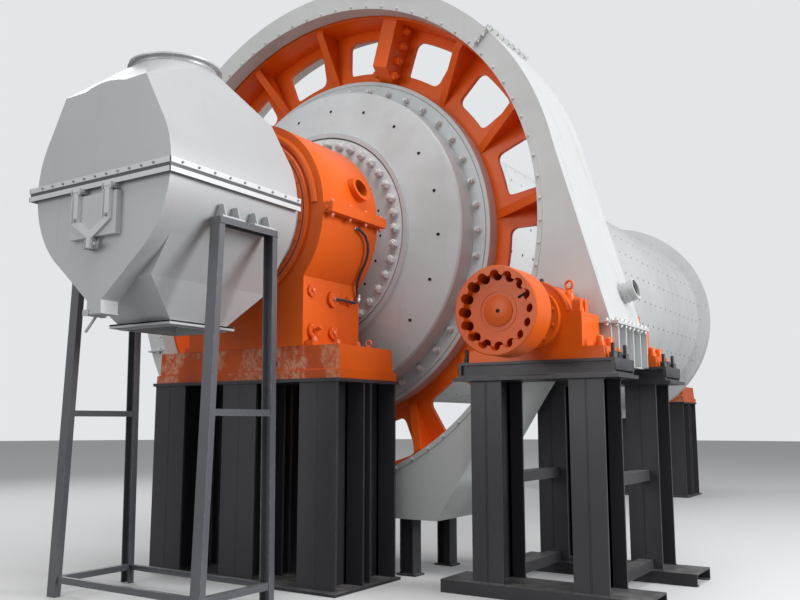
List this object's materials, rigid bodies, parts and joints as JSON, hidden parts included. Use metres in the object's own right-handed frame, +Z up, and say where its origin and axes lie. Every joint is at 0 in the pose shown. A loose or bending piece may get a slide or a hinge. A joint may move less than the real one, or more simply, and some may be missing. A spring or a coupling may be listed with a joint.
{
  "type": "ball mill",
  "caption": "Overflow ball mill on erection pedestals: flanged cylindrical drum on trunnion bearings, split girth gear with guard and pinion drive, discharge hood on a stand.",
  "frame": {"origin": "on the floor under the centre of the discharge bearing, on the mill axis", "axes": "+Z up, +Y along the mill axis from the discharge end to the feed end, +X to the pinion side"},
  "size_m": [6.0638, 13.426, 5.8699],
  "materials": {
    "painted_dark": "satin dark grey paint",
    "painted_orange": "satin orange paint",
    "painted_light": "satin light grey paint",
    "primed_steel": "primed casting",
    "machined_steel": "turned and cut steel",
    "hose_rubber": "matt hose"
  },
  "bodies": {
    "base": {"discharge_pedestal_plates": "painted_dark", "discharge_pedestal_columns": "painted_dark", "feed_pedestal_plates": "painted_dark", "feed_pedestal_columns": "painted_dark", "stand_right": "painted_dark", "stand_left": "painted_dark", "stand_ties": "painted_dark", "guard_legs": "painted_dark", "frame_columns": "painted_dark", "frame_rails": "painted_dark", "frame_braces": "painted_dark", "pinion_soles": "painted_dark", "discharge_sole": "painted_orange", "discharge_bearing_base": "painted_orange", "discharge_bearing_cap": "painted_orange", "discharge_seal_ring": "painted_orange", "feed_sole": "painted_orange", "feed_bearing_base": "painted_orange", "feed_bearing_cap": "painted_orange", "feed_seal_ring": "painted_orange", "pinion_bearing_bases": "painted_orange", "pinion_bearing_caps": "painted_orange", "hood_upper": "painted_light", "hood_lower": "painted_light", "hood_vent_flange": "painted_light", "hood_outlet_flange": "painted_light", "hood_brackets": "painted_light", "door_latch": "painted_light", "guard_top": "painted_light", "guard_side": "painted_light", "guard_bottom": "painted_light", "lube_hose": "hose_rubber"},
    "drum": {"shell": "painted_light", "discharge_head": "primed_steel", "feed_head": "primed_steel", "discharge_trunnion": "machined_steel", "feed_trunnion": "machined_steel", "girth_gear_upper": "painted_orange", "girth_gear_lower": "painted_orange"},
    "pinion_shaft": {"pinion": "machined_steel", "coupling": "painted_orange"},
    "access_door": {"hood_door": "painted_light", "door_yoke": "painted_light"},
    "flap": {"spout_flap": "painted_light"}
  },
  "joints": [
    {"name": "drum_spin", "type": "hinge", "parent": "base", "child": "drum", "pos_m": [0, 5.311, 3.22], "axis": [0, 1, 0], "continuous": true},
    {"name": "pinion_spin", "type": "hinge", "parent": "base", "child": "pinion_shaft", "pos_m": [2.554, 1.09, 2.2004], "axis": [0, 1, 0], "continuous": true},
    {"name": "door_hinge", "type": "hinge", "parent": "base", "child": "access_door", "pos_m": [0, -2.08, 3.132], "axis": [-1, 0, 0], "range_deg": [0, 80]},
    {"name": "flap_hinge", "type": "hinge", "parent": "base", "child": "flap", "pos_m": [-0.106, -1.943, 2.184], "axis": [0, 1, 0], "range_deg": [0, 50]}
  ],
  "couplings": [
    {"joint": "pinion_spin", "follows": "drum_spin", "ratio": -10}
  ]
}
